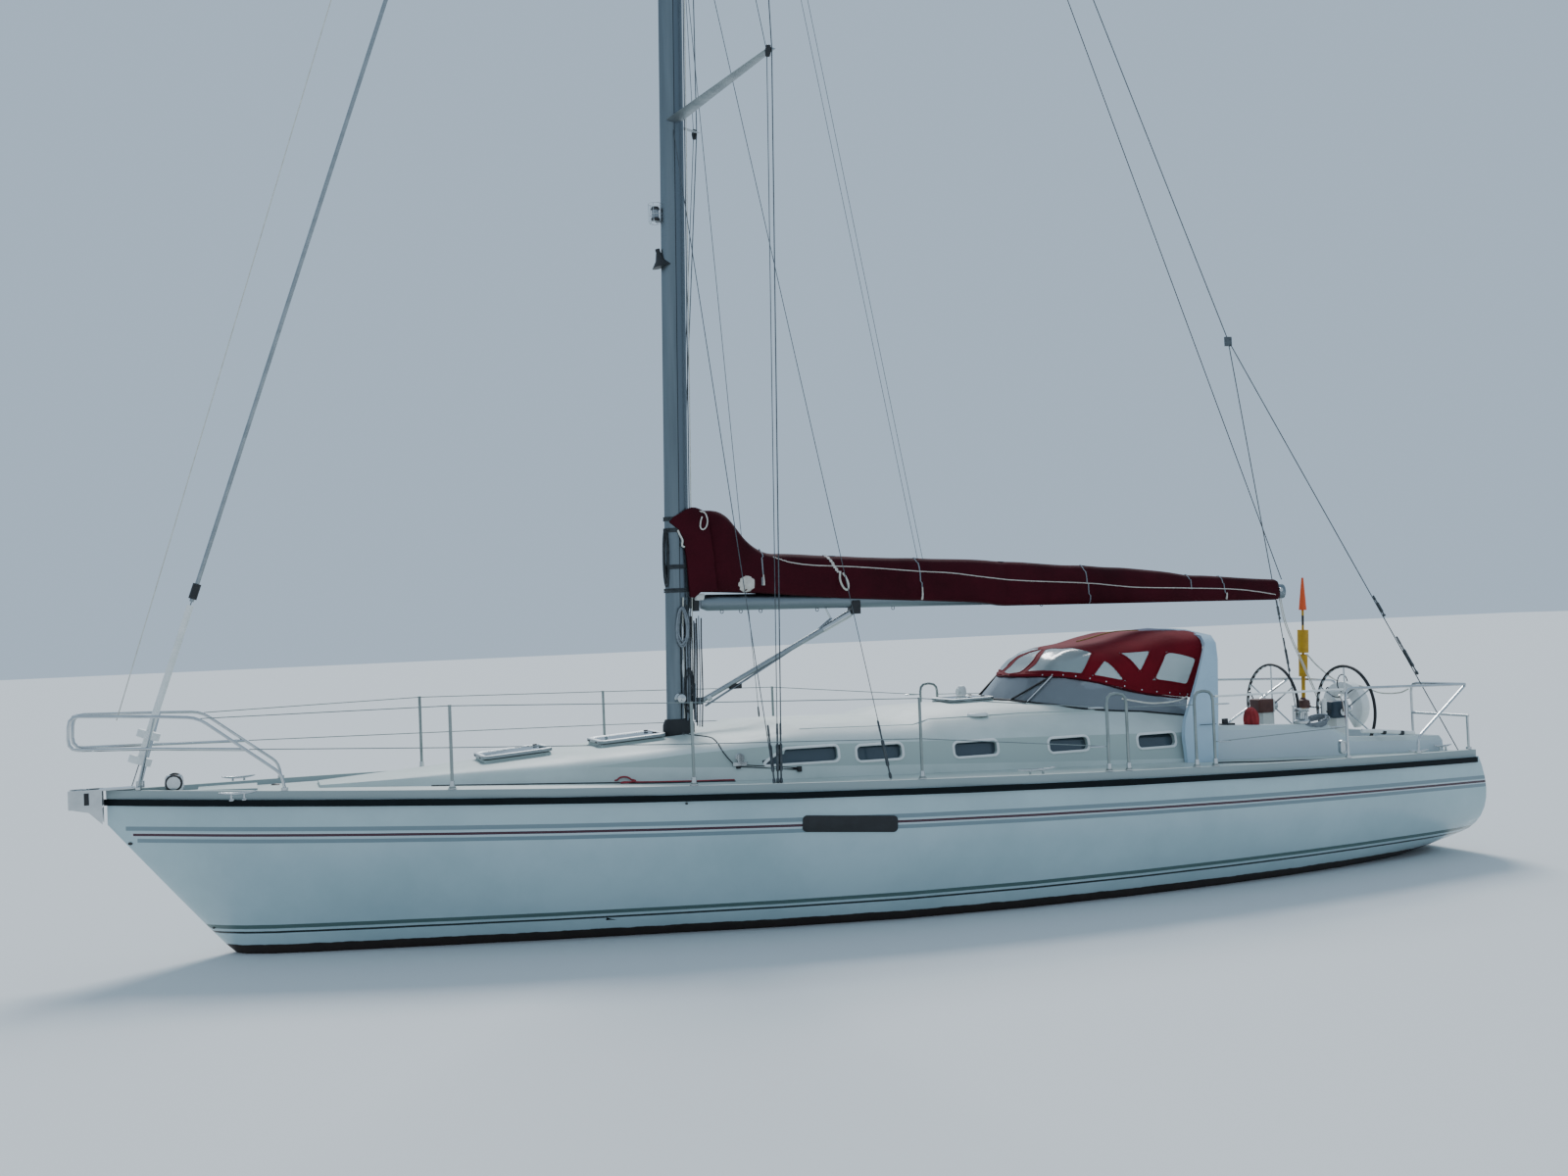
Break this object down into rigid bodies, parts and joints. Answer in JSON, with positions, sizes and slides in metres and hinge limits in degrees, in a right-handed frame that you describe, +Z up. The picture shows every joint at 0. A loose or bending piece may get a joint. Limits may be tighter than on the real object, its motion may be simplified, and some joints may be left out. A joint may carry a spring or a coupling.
{
  "type": "sailing yacht",
  "caption": "Fin-keel sailing yacht afloat, sail stowed on its boom, with twin wheels, windscreen, spray hood and opening hatches.",
  "frame": {"origin": "amidships on the centreline, at the waterline", "axes": "+X aft from bow to stern, +Y to starboard, +Z up"},
  "size_m": [12.0586, 3.7812, 19.198],
  "materials": {
    "gelcoat": "satin moulded gelcoat",
    "deck": "matt non-skid gelcoat",
    "strake": "weathered dark strake",
    "antifoul": "matt antifouling paint",
    "steel": "polished stainless steel",
    "alloy": "silver anodised",
    "canvas": "woven burgundy acrylic canvas",
    "clear": "tinted acrylic",
    "teak": "oiled teak",
    "bronze": "dull bronze",
    "black": "black moulded plastic",
    "white": "white plastic",
    "yellow": "yellow plastic",
    "engine": "painted engine block"
  },
  "bodies": {
    "hull_body": {"hull": "gelcoat", "deck": "deck", "coachroof": "gelcoat", "rubbing_strake": "strake", "keel": "antifoul", "sail_drive": "antifoul", "engine": "engine", "cockpit": "gelcoat", "arch": "gelcoat", "windscreen": "clear", "spray_hood": "canvas", "washboard": "teak", "mast": "alloy", "mast_collar": "black", "spreader_lower_port": "alloy", "spreader_lower_starboard": "alloy", "spreader_upper_port": "alloy", "spreader_upper_starboard": "alloy", "cap_shroud_port": "steel", "cap_shroud_starboard": "steel", "forestay": "steel", "backstay": "steel", "gooseneck": "steel", "pulpit": "steel", "pushpit_port": "steel", "pushpit_starboard": "steel", "guard_rail_port": "steel", "guard_rail_starboard": "steel", "pedestal_port": "gelcoat", "pedestal_starboard": "gelcoat", "bow_roller": "steel", "windlass": "steel", "cabin_windows_port": "clear", "cabin_windows_starboard": "clear", "winch_port": "steel", "winch_starboard": "steel", "danbuoy": "yellow", "lifebuoy": "white"},
    "rudder": {"rudder": "antifoul"},
    "wheel_port": {"wheel_port": "steel"},
    "wheel_starboard": {"wheel_starboard": "steel"},
    "propeller": {"propeller": "bronze"},
    "boom": {"boom": "alloy", "kicker": "alloy", "sail_cover": "canvas"},
    "furler": {"furling_foil": "alloy", "furler_drum": "white", "halyard_swivel": "black"},
    "fore_hatch": {"fore_hatch_lid": "clear"},
    "mast_hatch": {"mast_hatch_lid": "clear"},
    "saloon_hatch": {"saloon_hatch_lid": "clear"},
    "companion_hatch": {"companion_hatch": "clear"},
    "seat_locker_port": {"seat_locker_lid_port": "teak"},
    "seat_locker_starboard": {"seat_locker_lid_starboard": "teak"},
    "anchor_locker": {"anchor_locker_lid": "deck"}
  },
  "joints": [
    {"name": "rudder_turn", "type": "hinge", "parent": "hull_body", "child": "rudder", "pos_m": [4.7, 0, -0.3], "axis": [0, 0, 1], "range_deg": [-35, 35]},
    {"name": "wheel_port_turn", "type": "hinge", "parent": "hull_body", "child": "wheel_port", "pos_m": [4.97, -0.56, 1.34], "axis": [-1, 0, 0], "range_deg": [-270, 270]},
    {"name": "wheel_starboard_turn", "type": "hinge", "parent": "hull_body", "child": "wheel_starboard", "pos_m": [4.97, 0.56, 1.34], "axis": [-1, 0, 0], "range_deg": [-270, 270]},
    {"name": "propeller_spin", "type": "hinge", "parent": "hull_body", "child": "propeller", "pos_m": [2.49, 0, -0.78], "axis": [1, 0, 0], "continuous": true},
    {"name": "boom_swing", "type": "hinge", "parent": "hull_body", "child": "boom", "pos_m": [-1.205, 0, 2.57], "axis": [0.0275, 0, 0.9996], "range_deg": [-45, 45]},
    {"name": "furler_spin", "type": "hinge", "parent": "hull_body", "child": "furler", "pos_m": [-5.69, 0, 1.332], "axis": [0.3179, 0, 0.9481], "continuous": true},
    {"name": "fore_hatch_lift", "type": "hinge", "parent": "hull_body", "child": "fore_hatch", "pos_m": [-3.0826, 0, 1.3845], "axis": [0, -1, 0], "range_deg": [0, 100]},
    {"name": "mast_hatch_lift", "type": "hinge", "parent": "hull_body", "child": "mast_hatch", "pos_m": [-2.1323, 0, 1.449], "axis": [0, -1, 0], "range_deg": [0, 100]},
    {"name": "saloon_hatch_lift", "type": "hinge", "parent": "hull_body", "child": "saloon_hatch", "pos_m": [1.0497, 0, 1.6218], "axis": [0, -1, 0], "range_deg": [0, 80]},
    {"name": "companion_slide", "type": "slide", "parent": "hull_body", "child": "companion_hatch", "axis": [-1, 0, 0], "range_m": [0, 0.5]},
    {"name": "seat_locker_port_lift", "type": "hinge", "parent": "hull_body", "child": "seat_locker_port", "pos_m": [3.75, -0.93, 0.88], "axis": [1, 0, 0], "range_deg": [0, 75]},
    {"name": "seat_locker_starboard_lift", "type": "hinge", "parent": "hull_body", "child": "seat_locker_starboard", "pos_m": [3.75, 0.93, 0.88], "axis": [-1, 0, 0], "range_deg": [0, 75]},
    {"name": "anchor_locker_lift", "type": "hinge", "parent": "hull_body", "child": "anchor_locker", "pos_m": [-4.79, 0, 1.264], "axis": [0, 1, 0], "range_deg": [0, 85]}
  ],
  "couplings": [
    {"joint": "wheel_port_turn", "follows": "rudder_turn", "ratio": 7.714},
    {"joint": "wheel_starboard_turn", "follows": "rudder_turn", "ratio": 7.714}
  ]
}
